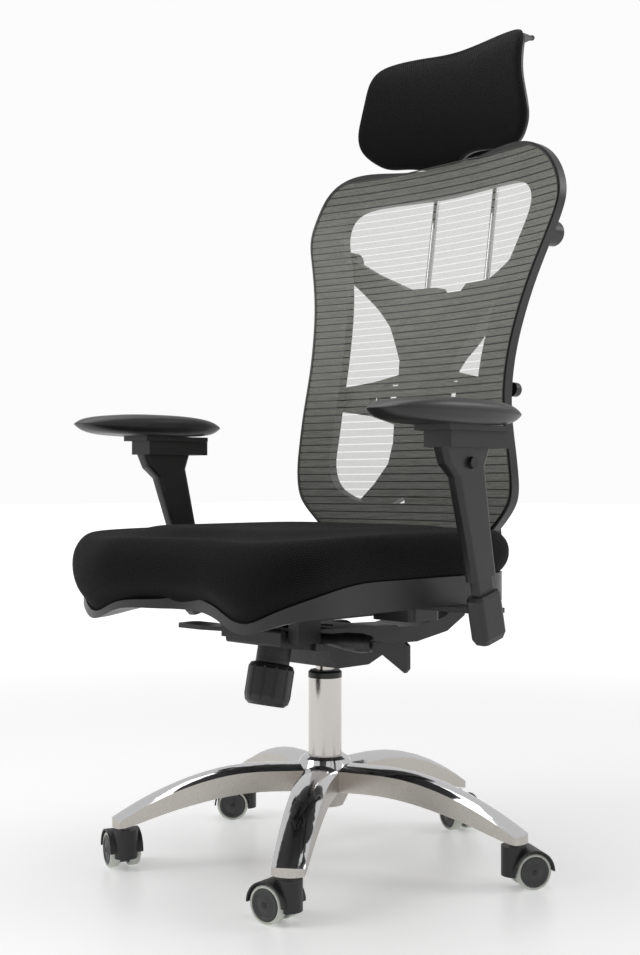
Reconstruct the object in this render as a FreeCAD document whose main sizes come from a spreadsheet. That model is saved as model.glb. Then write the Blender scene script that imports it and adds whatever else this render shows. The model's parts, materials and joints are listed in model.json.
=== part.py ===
import FreeCAD, Part
import math
import os
import Sketcher
from FreeCAD import Placement, Rotation, Vector

# Swivel office chair: five-arm polished base on twin-wheel casters, gas lift, tilt mechanism,
# waterfall seat on a moulded pan, height-adjustable arms, mesh back on an X-shaped spine, headrest.
# Frame: millimetres, +Z up, the sitter faces -Y, origin on the floor under the swivel axis.

doc = FreeCAD.newDocument("SwivelChair")

# ---------------------------------------------------------------- driving sizes
SIZES = {
    # base and casters
    "base_radius": 300.0,        # swivel axis to caster stem
    "base_turn": 18.0,           # angle of the first arm, degrees from +X
    "base_crest_radius": 100.0,  # where an arm is highest
    "base_crest_top": 152.0,
    "base_crest_bottom": 113.0,
    "base_arm_drop": 62.0,       # fall of an arm's top from crest to stem
    "base_arm_width": 44.0,
    "base_crown": 9.0,
    "base_tip_margin": 20.0,     # arm beyond the stem
    "hub_bottom": 87.0,
    "hub_top": 162.0,
    "hub_wall": 5.0,
    "wheel_diameter": 52.0,
    "wheel_width": 17.0,
    "wheel_gap": 16.0,           # between the two wheels of a caster
    "tread_depth": 4.6,
    "caster_trail": 22.0,        # stem axis to axle
    "caster_boss_radius": 18.0,
    "caster_top": 60.0,
    "boss_bottom": 18.0,
    "stem_reveal": 5.0,          # stem seen between caster and arm
    "stem_depth": 15.0,          # stem inside the caster
    "hood_gap": 2.0,
    "hood_wall": 2.5,
    "stem_radius": 5.5,
    "stem_engagement": 16.0,     # stem inside the arm
    "axle_radius": 3.0,
    # gas lift
    "column_diameter": 50.0,
    "column_wall": 2.5,
    "column_top": 279.0,
    "collar_height": 11.0,
    "bush_length": 62.0,
    "lift_diameter": 28.0,
    "lift_bottom": 130.0,
    "lift_rod_diameter": 10.0,
    "lift_rod_top": 240.0,
    "release_pin_radius": 3.0,
    # tilt mechanism
    "mechanism_bottom": 300.0,
    "mechanism_width": 118.0,
    "mechanism_front": 148.0,    # forward of the swivel axis
    "taper_length": 42.0,
    "recline_y": 85.0,
    "recline_z": 338.0,
    "tilt_y": -118.0,
    "tilt_z": 356.0,
    "pivot_radius": 6.0,
    "plate_width": 166.0,
    "plate_wall": 4.0,
    "plate_top": 380.0,
    "plate_rear": 110.0,
    "knob_diameter": 68.0,
    "knob_length": 68.0,
    "knob_neck_diameter": 50.0,
    "knob_lean": -12.0,
    "knob_spindle": 6.0,
    "knob_y": -108.0,
    "knob_z": 320.0,
    "lever_radius": 6.0,
    "lever_y": -66.0,
    "lever_z": 347.0,
    "lever_reach": 192.0,        # swivel axis to lever tip
    # seat
    "seat_width": 500.0,
    "seat_front": 310.0,
    "seat_rear": 168.0,
    "seat_top": 509.0,
    "pan_bottom": 402.0,
    "pan_side_height": 41.0,
    "pan_front_height": 13.0,
    "pan_lobe_drop": 23.0,       # front lobes below the crest
    "pan_lobe_x": 158.0,
    "pan_wall": 7.0,
    # arms
    "arm_clearance": 56.5,       # seat's side to the middle of the arm socket
    "arm_lean": 15.0,            # post leans forward
    "arm_splay": 2.2,            # post leans outward
    "socket_bottom": 358.0,
    "socket_y": 11.0,
    "socket_length": 68.0,
    "socket_width": 28.0,
    "socket_depth": 50.0,
    "post_width": 15.0,
    "post_depth": 35.0,
    "sleeve_width": 21.0,
    "sleeve_depth": 47.0,
    "sleeve_start": 90.0,        # socket bottom to sleeve bottom, along the post
    "arm_block_bottom": 620.0,
    "arm_block_height": 22.0,
    "arm_block_width": 47.0,
    "arm_block_length": 122.0,
    "arm_block_offset": 9.0,     # middle of the block outside the socket
    "arm_block_y": -48.5,
    "arm_pad_length": 289.0,
    "arm_pad_width": 94.0,
    "arm_pad_thickness": 35.0,
    "arm_pad_y": -90.5,
    "arm_slide_height": 7.5,
    # back
    "back_bottom": 484.0,
    "back_top": 1103.0,
    "back_half_width": 267.0,
    "frame_depth": 17.0,
    "frame_band": 66.0,
    "mesh_thickness": 1.0,
    "mesh_margin": 4.0,          # frame showing round the mesh
    "plan_curve": 0.00056,       # forward wrap of the sides, per mm
    "spine_arm_thickness": 15.0,
    "spine_gap": 1.8,            # between the frame and the spine's ends
    "boss_radius": 20.0,
    "bracket_width": 90.0,
    # headrest
    "rod_radius": 5.0,
    "rod_spread": 64.0,
    "rod_lean": 9.0,
    "rod_bottom": 850.0,
    "rod_entry": 904.5,          # where the rods leave the spine
    "rod_y": 313.0,
    "head_bottom": 1115.0,
    "head_top": 1306.0,
    "head_half_width": 180.0,
    "head_curve": 0.00108,
    "head_pad_thickness": 15.0,
    "head_shell_thickness": 5.0,
    "head_lip_height": 17.0,     # the shell's top curls back over this height
    "head_lip_reach": 42.0,
    "head_pivot_y": 336.0,
    "head_pivot_z": 1168.0,
    "head_pin_radius": 4.0,
    "bracket_z": 1136.0,
    # fits
    "running_gap": 0.05,         # shaft in a hole, radial
    "slide_gap": 0.3,            # sliding or neighbouring faces
}

sheet = doc.addObject("Spreadsheet::Sheet", "Sizes")
for row, (alias, number) in enumerate(SIZES.items(), start=1):
    sheet.set("A%d" % row, alias)
    sheet.set("B%d" % row, str(number))
    sheet.setAlias("B%d" % row, alias)
doc.recompute()


class Size:
    """A number together with the sheet expression that it comes from."""

    def __init__(self, value, text):
        self.value = float(value)
        self.text = text

    def __float__(self):
        return self.value

    def _join(self, other, sign, value):
        return Size(value, "(%s %s %s)" % (self.text, sign, size(other).text))

    def __add__(self, other):
        return self._join(other, "+", self.value + float(other))

    def __sub__(self, other):
        return self._join(other, "-", self.value - float(other))

    def __mul__(self, other):
        return self._join(other, "*", self.value * float(other))

    def __truediv__(self, other):
        return self._join(other, "/", self.value / float(other))

    def __radd__(self, other):
        return size(other) + self

    def __rsub__(self, other):
        return size(other) - self

    def __rmul__(self, other):
        return size(other) * self

    def __neg__(self):
        return Size(-self.value, "(0 - %s)" % self.text)


def size(x):
    return x if isinstance(x, Size) else Size(x, repr(float(x)))


def cell(alias):
    return Size(sheet.get(alias), "Sizes.%s" % alias)


class Sizes:
    """Every cell of the sheet as an attribute."""


D = Sizes()
for alias in SIZES:
    setattr(D, alias, cell(alias))

NODES = []


def node(obj, label):
    obj.Label = label
    NODES.append(obj)
    return obj


# ---------------------------------------------------------------- helpers
def bind(obj, prop, value):
    if isinstance(value, Size):
        obj.setExpression(prop, value.text)


def place(obj, x=0, y=0, z=0, rotation=None):
    """Puts an object at a point of the chair, bound to the sheet where the point is."""
    turn = rotation or Rotation()
    obj.Placement = Placement(Vector(float(x), float(y), float(z)), turn)
    for axis, value in zip("xyz", (x, y, z)):
        bind(obj, "Placement.Base.%s" % axis, value)
    return obj


def plane_of(body, role):
    return [f for f in body.Origin.OriginFeatures if f.Role == role][0]


def new_body(name):
    return doc.addObject("PartDesign::Body", name)


def polygon(body, name, role, points, offset=None):
    """A closed sketch whose corners are each bound to the sheet."""
    sketch = body.newObject("Sketcher::SketchObject", name)
    sketch.AttachmentSupport = [(plane_of(body, role), "")]
    sketch.MapMode = "FlatFace"
    if offset is not None:
        sketch.AttachmentOffset = Placement(Vector(0, 0, float(offset)), Rotation())
        bind(sketch, "AttachmentOffset.Base.z", offset)
    flat = [Vector(float(u), float(v), 0) for u, v in points]
    count = len(flat)
    for i in range(count):
        sketch.addGeometry(Part.LineSegment(flat[i], flat[(i + 1) % count]), False)
    for i in range(count):
        sketch.addConstraint(Sketcher.Constraint("Coincident", i, 2, (i + 1) % count, 1))
    for i, corner in enumerate(points):
        for kind, axis_line, value in (("DistanceX", -2, corner[0]), ("DistanceY", -1, corner[1])):
            if abs(float(value)) < 1e-9:
                sketch.addConstraint(Sketcher.Constraint("PointOnObject", i, 1, axis_line))
                continue
            index = sketch.addConstraint(Sketcher.Constraint(kind, -1, 1, i, 1, float(value)))
            bind(sketch, "Constraints[%d]" % index, value)
    return sketch


def revolved(name, points):
    """A body turned about its own Z axis from (radius, height) corners."""
    body = new_body(name)
    sketch = polygon(body, name + "_profile", "XZ_Plane", points)
    turn = body.newObject("PartDesign::Revolution", name + "_turn")
    turn.Profile = sketch
    turn.ReferenceAxis = (sketch, ["V_Axis"])
    turn.Angle = 360
    return body


def padded(name, role, points, length, midplane=False, reverse=False):
    """A body padded from a flat outline."""
    body = new_body(name)
    sketch = polygon(body, name + "_outline", role, points)
    pad = body.newObject("PartDesign::Pad", name + "_pad")
    pad.Profile = sketch
    pad.Length = float(length)
    bind(pad, "Length", length)
    pad.Midplane = midplane
    pad.Reversed = reverse
    return body


def round_edges(body, radius, keep):
    """Rounds the edges of a body's last feature that keep() accepts."""
    doc.recompute()
    base = body.Tip
    names = ["Edge%d" % (i + 1) for i, e in enumerate(base.Shape.Edges) if keep(e)]
    fillet = body.newObject("PartDesign::Fillet", body.Name + "_round")
    fillet.Base = (base, names)
    fillet.Radius = float(radius)
    bind(fillet, "Radius", radius)
    return fillet


def upright(edge):
    first, last = edge.Vertexes[0].Point, edge.Vertexes[-1].Point
    return (first - last).normalize().isEqual(Vector(0, 0, 1), 1e-6) or (
        last - first).normalize().isEqual(Vector(0, 0, 1), 1e-6)


def along(axis):
    def test(edge):
        if edge.Curve.TypeId != "Part::GeomLine":
            return False
        return abs(abs(edge.Curve.Direction.dot(axis)) - 1) < 1e-6
    return test


def cylinder(name, radius, height, x=0, y=0, z=0, rotation=None):
    """Part::Cylinder from its base point along its own Z."""
    tube = doc.addObject("Part::Cylinder", name)
    tube.Radius = float(radius)
    tube.Height = float(height)
    bind(tube, "Radius", radius)
    bind(tube, "Height", height)
    return place(tube, x, y, z, rotation)


def box(name, length, width, height, x=0, y=0, z=0, rotation=None):
    """Part::Box from its lowest corner."""
    block = doc.addObject("Part::Box", name)
    for prop, value in (("Length", length), ("Width", width), ("Height", height)):
        setattr(block, prop, float(value))
        bind(block, prop, value)
    return place(block, x, y, z, rotation)


def fused(name, *pieces):
    joined = doc.addObject("Part::MultiFuse", name)
    joined.Shapes = list(pieces)
    return joined


def cut(name, base, *tools):
    tool = tools[0] if len(tools) == 1 else fused(name + "_tools", *tools)
    made = doc.addObject("Part::Cut", name)
    made.Base = base
    made.Tool = tool
    return made


def grouped(name, *pieces):
    group = doc.addObject("Part::Compound", name)
    group.Links = list(pieces)
    return group


def mirrored(source, label):
    """The left-hand copy of a right-hand piece."""
    copy = doc.addObject("Part::Mirroring", label)
    copy.Source = source
    copy.Normal = Vector(1, 0, 0)
    return node(copy, label)


def shaped(name, shape, placement=None):
    """A feature whose shape this macro makes, read from the sheet."""
    feature = doc.addObject("Part::Feature", name)
    feature.Shape = shape
    feature.Placement = placement or Placement()
    return feature


ALONG_X = Rotation(Vector(0, 1, 0), 90)


def spline(points):
    curve = Part.BSplineCurve()
    curve.interpolate([Vector(*p) for p in points])
    return curve.toShape()


def closed_spline(points):
    curve = Part.BSplineCurve()
    curve.interpolate(Points=[Vector(*p) for p in points], PeriodicFlag=True)
    return Part.Wire([curve.toShape()])


def line(a, b):
    return Part.LineSegment(Vector(*a), Vector(*b)).toShape()


def interpolate(table, x):
    """Smooth value at x from a table of (x, value), monotone between its rows."""
    rows = sorted(table)
    if x <= rows[0][0]:
        return rows[0][1]
    if x >= rows[-1][0]:
        return rows[-1][1]
    slopes = [(b[1] - a[1]) / (b[0] - a[0]) for a, b in zip(rows, rows[1:])]
    tangents = [slopes[0]] + [(s + t) / 2 if s * t > 0 else 0.0 for s, t in zip(slopes, slopes[1:])]
    tangents.append(slopes[-1])
    for i, (a, b) in enumerate(zip(rows, rows[1:])):
        if x <= b[0]:
            span = b[0] - a[0]
            t = (x - a[0]) / span
            lead = (1 + 2 * t) * (1 - t) ** 2 * a[1] + t * (1 - t) ** 2 * span * tangents[i]
            return lead + t * t * (3 - 2 * t) * b[1] + t * t * (t - 1) * span * tangents[i + 1]


def slab(levels, stations, front, rear):
    """A curved sheet: at each height, front(x, z) and rear(x, z) give its two faces."""
    wires = []
    for z in levels:
        face = [(x, front(x, z), z) for x in stations]
        back = [(x, rear(x, z), z) for x in reversed(stations)]
        wires.append(Part.Wire([spline(face), line(face[-1], back[0]), spline(back),
                                line(back[-1], face[0])]))
    return Part.makeLoft(wires, True, False)


def prism_y(wire, low, high):
    """An outline in the XZ plane, carried along Y."""
    face = Part.Face(wire)
    face.translate(Vector(0, low, 0))
    return face.extrude(Vector(0, high - low, 0))


def spread(low, high, count):
    return [low + (high - low) * i / (count - 1) for i in range(count)]


# ---------------------------------------------------------------- star base
ARM_COUNT = 5
CHANNEL_WALL = 5.0


def base_angle(index):
    return float(D.base_turn) + 360.0 / ARM_COUNT * index


def base_top(r):
    """Height of an arm's ridge: level at the hub, then falling ever faster to the tip."""
    crest = float(D.base_crest_radius)
    part = max(0.0, (r - crest) / (float(D.base_radius) - crest))
    return float(D.base_crest_top) - float(D.base_arm_drop) * part ** 1.9


def base_bottom(r):
    crest = float(D.base_crest_radius)
    part = max(0.0, (r - crest) / (float(D.base_radius) - crest))
    stem_bottom = float(D.caster_top + D.stem_reveal)
    fall = float(D.base_crest_bottom) - stem_bottom
    return max(stem_bottom, float(D.base_crest_bottom) - fall * part ** 1.6)


def arm_section(r, half_width, low, top, crown):
    """Upright walls under an arched top, square to the arm."""
    shoulder = top - crown
    arch = Part.Arc(Vector(r, -half_width, shoulder), Vector(r, 0, top), Vector(r, half_width, shoulder))
    return Part.Wire([
        line((r, -half_width, low), (r, -half_width, shoulder)),
        arch.toShape(),
        line((r, half_width, shoulder), (r, half_width, low)),
        line((r, half_width, low), (r, -half_width, low)),
    ])


def base_arm():
    """One arm along +X: a channel open below, closed round the caster stem."""
    radius = float(D.base_radius)
    tip = radius + float(D.base_tip_margin)
    half = float(D.base_arm_width) / 2
    crown = float(D.base_crown)
    outer = [arm_section(r, half + 5 * (1 - r / tip), base_bottom(r), base_top(r), crown)
             for r in spread(28.0, tip, 9)]
    solid = Part.makeLoft(outer, True, False)
    channel_end = radius - half
    inner = [arm_section(r, half - CHANNEL_WALL, 0.0, base_top(r) - CHANNEL_WALL, crown * 0.7)
             for r in spread(float(D.column_diameter) / 2 + 22, channel_end, 7)]
    solid = solid.cut(Part.makeLoft(inner, True, False))
    plan = Part.Wire([
        line((0, -half - 6, 0), (tip - half, -half - 6, 0)),
        Part.Arc(Vector(tip - half, -half - 6, 0), Vector(tip, 0, 0), Vector(tip - half, half + 6,
                                                                             0)).toShape(),
        line((tip - half, half + 6, 0), (0, half + 6, 0)),
        line((0, half + 6, 0), (0, -half - 6, 0)),
    ])
    return solid.common(Part.Face(plan).extrude(Vector(0, 0, 400)))


def build_base():
    hub_radius = D.column_diameter / 2 + D.hub_wall
    hub = revolved("base_hub", [
        (0, D.hub_bottom), (hub_radius - 2, D.hub_bottom), (hub_radius + 8, D.hub_bottom + 20),
        (hub_radius + 13, D.hub_top - 16), (hub_radius + 7, D.hub_top - 4), (hub_radius, D.hub_top),
        (0, D.hub_top)])
    blank = base_arm()
    arms = [shaped("base_arm_%d" % (i + 1), blank.copy(), Placement(Vector(), Rotation(Vector(0, 0, 1),
                                                                                       base_angle(i))))
            for i in range(ARM_COUNT)]
    bores = [cylinder("column_bore", D.column_diameter / 2 + D.running_gap, D.hub_top, z=D.hub_bottom - 20)]
    for i in range(ARM_COUNT):
        turn = math.radians(base_angle(i))
        bores.append(cylinder(
            "stem_bore_%d" % (i + 1), D.stem_radius + D.running_gap, D.stem_reveal + D.stem_engagement,
            D.base_radius * math.cos(turn), D.base_radius * math.sin(turn), D.caster_top))
    node(cut("star_base", fused("base_casting", hub, *arms), *bores), "star_base")


# ---------------------------------------------------------------- gas lift
def build_gas_lift():
    outer = D.column_diameter / 2
    inner = outer - D.column_wall
    rod = D.lift_rod_diameter / 2
    piston = D.lift_diameter / 2
    floor_top = D.hub_bottom + 6
    node(revolved("gas_lift_outer_tube", [
        (rod, D.hub_bottom), (outer, D.hub_bottom), (outer, D.column_top), (inner, D.column_top),
        (inner, floor_top), (rod, floor_top)]), "gas_lift_outer_tube")
    node(revolved("column_collar", [
        (piston + D.slide_gap, D.column_top), (outer + 0.6, D.column_top),
        (outer + 0.6, D.column_top + D.collar_height - 3), (outer - 2.4, D.column_top + D.collar_height),
        (piston + D.slide_gap, D.column_top + D.collar_height)]), "column_collar")
    bush_low = D.column_top - D.bush_length
    node(revolved("gas_lift_guide_bush", [
        (piston + D.running_gap, bush_low), (inner - D.running_gap, bush_low),
        (inner - D.running_gap, D.column_top), (piston + D.running_gap,
                                                D.column_top)]), "gas_lift_guide_bush")
    node(revolved("gas_lift_rod", [
        (0, D.hub_bottom), (rod, D.hub_bottom), (rod, floor_top), (rod + 4, floor_top),
        (rod + 4, floor_top + 5), (rod, floor_top + 5), (rod, D.lift_rod_top), (0,
                                                                                D.lift_rod_top)]),
                                                                                "gas_lift_rod")
    bore = rod + D.running_gap
    bore_top = D.lift_rod_top + 12
    taper_top = D.mechanism_bottom + D.taper_length
    pin = D.release_pin_radius + D.running_gap
    node(revolved("gas_lift_piston", [
        (bore, D.lift_bottom), (piston, D.lift_bottom), (piston, taper_top), (pin, taper_top),
        (pin, taper_top - 20), (0, taper_top - 20), (0, bore_top), (bore, bore_top)]), "gas_lift_piston")
    node(cylinder("gas_lift_release_pin", D.release_pin_radius, 24, z=taper_top - 20),
         "gas_lift_release_pin")


# ---------------------------------------------------------------- casters
TRAIL_TURNS = (60.0, -17.0, -132.0, 158.0, -171.5)


def caster_prototypes():
    """The four pieces of one caster, stem on the Z axis, trailing towards +X."""
    wheel = D.wheel_diameter / 2
    half_gap = D.wheel_gap / 2
    width = D.wheel_gap + D.wheel_width * 2
    hood_in = wheel + D.hood_gap
    hood_out = hood_in + D.hood_wall
    hood_half = width / 2
    tread_in = wheel - D.tread_depth
    across = Rotation(Vector(1, 0, 0), -90)

    def axle_cylinder(name, radius, half_length):
        return cylinder(name, radius, half_length * 2, D.caster_trail, -half_length, wheel, across)

    hood = cut("hood_ring", axle_cylinder("hood_outer", hood_out, hood_half),
               axle_cylinder("hood_inner", hood_in, hood_half + 1),
               box("hood_below", 200, 100, wheel + 20, -100, -50, -20))
    web = fused("caster_web", axle_cylinder("web_disc", tread_in - 1, half_gap - D.slide_gap),
                cylinder("caster_boss", D.caster_boss_radius, D.caster_top - D.boss_bottom,
                         z=D.boss_bottom))
    bridge = box("hood_bridge", D.caster_trail, D.wheel_gap - D.slide_gap * 2, hood_out,
                 0, D.slide_gap - half_gap, wheel)
    clear = D.wheel_diameter / 2 + 1.2
    wells = [cylinder("wheel_well_%s" % side, clear, D.wheel_width + 2, D.caster_trail, y, wheel, across)
             for side, y in (("right", half_gap - D.slide_gap),
                             ("left", D.slide_gap - half_gap - D.wheel_width - 2))]
    bores = [axle_cylinder("axle_bore", D.axle_radius + D.running_gap, half_gap + 1),
             cylinder("swivel_bore", D.stem_radius + D.running_gap, D.stem_depth,
                      z=D.caster_top - D.stem_depth)]
    trimmed = doc.addObject("Part::Common", "bridge_trimmed")
    trimmed.Base = bridge
    trimmed.Tool = axle_cylinder("bridge_limit", hood_out, hood_half)
    housing = cut("caster_housing", fused("caster_shell", cut("web_welled", fused(
        "web_joined", web, trimmed), *wells), hood), *bores)
    stem = cylinder("caster_stem", D.stem_radius, D.stem_depth + D.stem_reveal + D.stem_engagement - 1,
                    z=D.caster_top - D.stem_depth)
    pins = grouped("caster_pins", stem, axle_cylinder("caster_axle", D.axle_radius, hood_half - 3))

    hub_face = half_gap + D.wheel_width
    profile = [
        (D.axle_radius + D.running_gap, half_gap), (tread_in - 3, half_gap), (tread_in - 2, half_gap + 1),
        (tread_in, half_gap + 1), (wheel - 1.5, half_gap), (wheel, half_gap + 1.5), (wheel, hub_face - 3.5),
        (wheel - 1.8, hub_face - 1), (tread_in, hub_face - 1), (tread_in - 1, hub_face),
        (tread_in - 8, hub_face), (tread_in - 10, hub_face - 1.5), (D.axle_radius + D.running_gap,
                                                                    hub_face - 1.5)]
    wheels = {}
    for side, turn in (("left", 90), ("right", -90)):
        blank = revolved("wheel_%s_blank" % side, profile)
        wheels[side] = grouped("wheel_%s" % side, blank)
        place(wheels[side], D.caster_trail, 0, wheel, Rotation(Vector(1, 0, 0), turn))
    return {"housing": housing, "pins": pins, "wheel_left": wheels["left"], "wheel_right": wheels["right"]}


def build_casters():
    prototypes = caster_prototypes()
    for i, trail in enumerate(TRAIL_TURNS):
        turn = math.radians(base_angle(i))
        spot = (D.base_radius * math.cos(turn), D.base_radius * math.sin(turn), 0)
        for kind, source in prototypes.items():
            name = "caster_%d_%s" % (i + 1, kind)
            copy = grouped(name, source)
            place(copy, *spot, rotation=Rotation(Vector(0, 0, 1), trail))
            node(copy, name)


# ---------------------------------------------------------------- tilt mechanism
def leaning(angle):
    return Rotation(Vector(1, 0, 0), angle)


TILT_SLOPE = math.tan(math.radians(4.8))


def build_mechanism():
    low = D.mechanism_bottom
    top = D.plate_top - D.plate_wall - D.slide_gap
    half = D.mechanism_width / 2
    rear = D.recline_y + 20

    def under_plate(y):
        """Height that the tilted seat plate leaves free at a depth."""
        return top - 2 - (y - D.tilt_y) * TILT_SLOPE

    body = padded("mechanism_body", "YZ_Plane", [
        (-D.mechanism_front, D.tilt_z - 16), (-52, low + 26), (-34, low), (34, low), (D.recline_y - 14,
                                                                                      low + 14),
        (rear, D.recline_z - 14), (rear, D.recline_z + 13), (rear - 10, under_plate(rear - 4)),
        (rear - 44, under_plate(rear - 10)),
        (-D.mechanism_front + 16, top - 14), (-D.mechanism_front,
                                              D.tilt_z + 10)], D.mechanism_width, midplane=True)
    round_edges(body, 5, along(Vector(1, 0, 0)))
    slot_half = D.bracket_width / 2 + 1
    slot = box("mechanism_rear_slot", slot_half * 2, 90, 90, -slot_half, D.recline_y - 26, low - 5)
    bay = box("mechanism_spring_bay", slot_half * 2, 56, 60, -slot_half, -90, low + 42)
    ears = [box("tilt_ear_gap_%d" % side, 12, 60, 60, float(half) * side - 6, D.tilt_y - 20, low + 20)
            for side in (-1, 1)]
    lift_bore = cylinder("mechanism_lift_bore", D.lift_diameter / 2 + D.running_gap, 90, z=low - 1)
    pins = [cylinder(name, radius + D.running_gap, half * 2 + 4, -half - 2, y, z, ALONG_X)
            for name, radius, y, z in (("recline_bore", D.pivot_radius, D.recline_y, D.recline_z),
                                       ("tilt_bore", D.pivot_radius, D.tilt_y, D.tilt_z),
                                       ("lever_bore", D.lever_radius, D.lever_y, D.lever_z))]
    neck = cylinder("knob_boss", D.knob_neck_diameter / 2, 34, 0, D.knob_y, D.knob_z - 4,
                    leaning(float(D.knob_lean)))
    spindle = cylinder("spindle_bore", D.knob_spindle + D.running_gap, 90, 0, D.knob_y, D.knob_z - 4,
                       leaning(float(D.knob_lean)))
    shell = cut("mechanism_shell", fused("mechanism_blank", body, neck), slot, bay, *ears)
    node(cut("mechanism_housing", shell, lift_bore, spindle, *pins), "mechanism_housing")
    reach = D.plate_width / 2
    node(grouped("pivot_pins",
                 cylinder("recline_pin", D.pivot_radius, half * 2, -half, D.recline_y, D.recline_z,
                          ALONG_X),
                 cylinder("tilt_pin", D.pivot_radius, reach * 2, -reach, D.tilt_y, D.tilt_z,
                          ALONG_X)), "pivot_pins")


def build_knob():
    """Tension knob hanging under the front of the housing, with its spindle."""
    outer = D.knob_diameter / 2
    neck = D.knob_neck_diameter / 2
    knob = revolved("knob_turned", [
        (0, -D.knob_length), (outer - 8, -D.knob_length), (outer - 2, -D.knob_length + 5),
        (outer, -D.knob_length + 14), (outer, -14), (outer - 3, -8), (neck, -6), (neck, -D.slide_gap),
        (D.knob_spindle, -D.slide_gap), (D.knob_spindle, 30), (0, 30)])
    grips = []
    for i in range(12):
        turn = math.radians(30 * i)
        grips.append(cylinder("knob_flute_%d" % (i + 1), 2.5, D.knob_length, (outer + 1) * math.cos(turn),
                              (outer + 1) * math.sin(turn), -D.knob_length - 10))
    made = cut("tension_knob", knob, *grips)
    place(made, 0, D.knob_y, D.knob_z - 4, leaning(float(D.knob_lean)))
    node(made, "tension_knob")


def build_levers():
    """Height lever, tilt-lock lever and depth grips, each on its own stub in the housing's side."""
    half = D.mechanism_width / 2
    stub = D.lever_radius
    root = half - 9
    grip = revolved("lever_grip", [
        (0, 0), (stub, 0), (stub, 10), (stub + 2, 10), (stub + 3, 30), (stub + 7, 60), (stub + 8, 88),
        (stub + 6, 104), (stub + 1, 110), (0, 110)])
    place(grip, root, D.lever_y, D.lever_z, ALONG_X)
    tip = root + 110
    paddle = padded("lever_paddle", "XZ_Plane", [
        (tip - 12, -5), (tip + 20, -12), (tip + 62, -34), (tip + 68, -28), (tip + 68, 4), (tip + 62, 8),
        (tip + 20, 4), (tip - 12, 5)], 6, midplane=True)
    place(paddle, 0, D.lever_y, D.lever_z)
    node(fused("height_lever", grip, paddle), "height_lever")
    reach = D.lever_reach + 50
    blade = padded("lock_blade", "XY_Plane", [
        (-half - 2, D.lever_y - 9), (-half - 2, D.lever_y + 9), (-half - 50, D.lever_y + 6),
        (-reach + 50, D.lever_y + 16), (-reach + 6, D.lever_y + 14), (-reach, D.lever_y + 6),
        (-reach, D.lever_y - 22), (-reach + 8, D.lever_y - 30), (-reach + 60, D.lever_y - 28),
        (-half - 50, D.lever_y - 8)], 7, midplane=True)
    place(blade, 0, 0, D.lever_z)
    hub = cylinder("lock_stub", stub, 14, -half - 4, D.lever_y, D.lever_z, ALONG_X)
    node(fused("tilt_lock_lever", blade, hub), "tilt_lock_lever")


def build_seat_plate():
    """Steel plate on the tilt pivots, and the two rails that the pan slides on."""
    top = D.plate_top
    low = top - D.plate_wall
    half = D.plate_width / 2
    inner = D.mechanism_width / 2 + 3
    front = D.tilt_y - 22
    plate = padded("plate_sheet", "XY_Plane", [
        (-half, front), (half, front), (half, D.plate_rear), (-half, D.plate_rear)], D.plate_wall)
    place(plate, 0, 0, low)
    ears = [box("plate_ear_%d" % (i + 1), half - inner, 44, top - D.tilt_z + 10, x, D.tilt_y - 18,
                D.tilt_z - 11)
            for i, x in enumerate((inner, -half))]
    bore = cylinder("plate_bore", D.pivot_radius + D.running_gap, half * 2 + 4, -half - 2, D.tilt_y,
                    D.tilt_z, ALONG_X)
    node(cut("seat_plate", fused("plate_blank", plate, *ears), bore), "seat_plate")
    rail_top = D.pan_bottom - D.slide_gap
    rails = [box("slide_rail_%d" % (i + 1), 22, D.plate_rear - front, rail_top - top, x, front, top)
             for i, x in enumerate((half - 22, -half))]
    node(grouped("slide_rails", *rails), "slide_rails")


# ---------------------------------------------------------------- seat
def rim_height(x, y):
    """Upper edge of the pan: high along the sides, dipping round the front, lowest at two lobes."""
    pan = float(D.pan_bottom)
    side = pan + float(D.pan_side_height)
    forward = min(1.0, max(0.0, (-y - 0.48 * float(D.seat_front)) / (0.5 * float(D.seat_front))))
    return side + (floor_height(x, y) + float(D.pan_front_height) - side) * forward ** 2


def floor_height(x, y):
    """Underside of the pan: flat, with two lobes hanging down under the front."""
    lobe = math.exp(-((abs(x) - float(D.pan_lobe_x)) / 55.0) ** 2)
    forward = min(1.0, max(0.0, (-y - 0.35 * float(D.seat_front)) / (0.6 * float(D.seat_front))))
    return float(D.pan_bottom) - float(D.pan_lobe_drop) * lobe * forward ** 2


def below(height, lift):
    """Everything under a height function, to be cut from or kept."""
    half = float(D.seat_width) / 2 + 20
    wires = []
    for y in spread(-float(D.seat_front) - 40, float(D.seat_rear) + 40, 15):
        points = [(x, y, height(x, y) + lift) for x in spread(-half, half, 17)]
        wires.append(Part.Wire([spline(points), line(points[-1], (half, y, 200)),
                                line((half, y, 200), (-half, y, 200)), line((-half, y, 200), points[0])]))
    return Part.makeLoft(wires, True, False)


def seat_plan(inset, high=600.0):
    """The seat's outline from above as an upright block."""
    half = float(D.seat_width) / 2 - 3 - inset
    front = float(D.seat_front) - 8 - inset
    rear = float(D.seat_rear) - inset
    right = [(half, 0), (half - 1, -0.62 * front), (half - 12, -0.9 * front), (half - 52, -front)]
    back = [(half - 2, 0.5 * rear), (half - 22, 0.86 * rear), (half - 70, rear)]
    outline = [(0, -front - 1)] + [(-x, y) for x, y in reversed(right)] + [(-x, y) for x, y in back]
    outline += [(0, rear)] + [(x, y) for x, y in reversed(back)] + right
    return Part.Face(closed_spline([(x, y, 200.0) for x, y in outline])).extrude(Vector(0, 0, high - 200))


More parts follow.
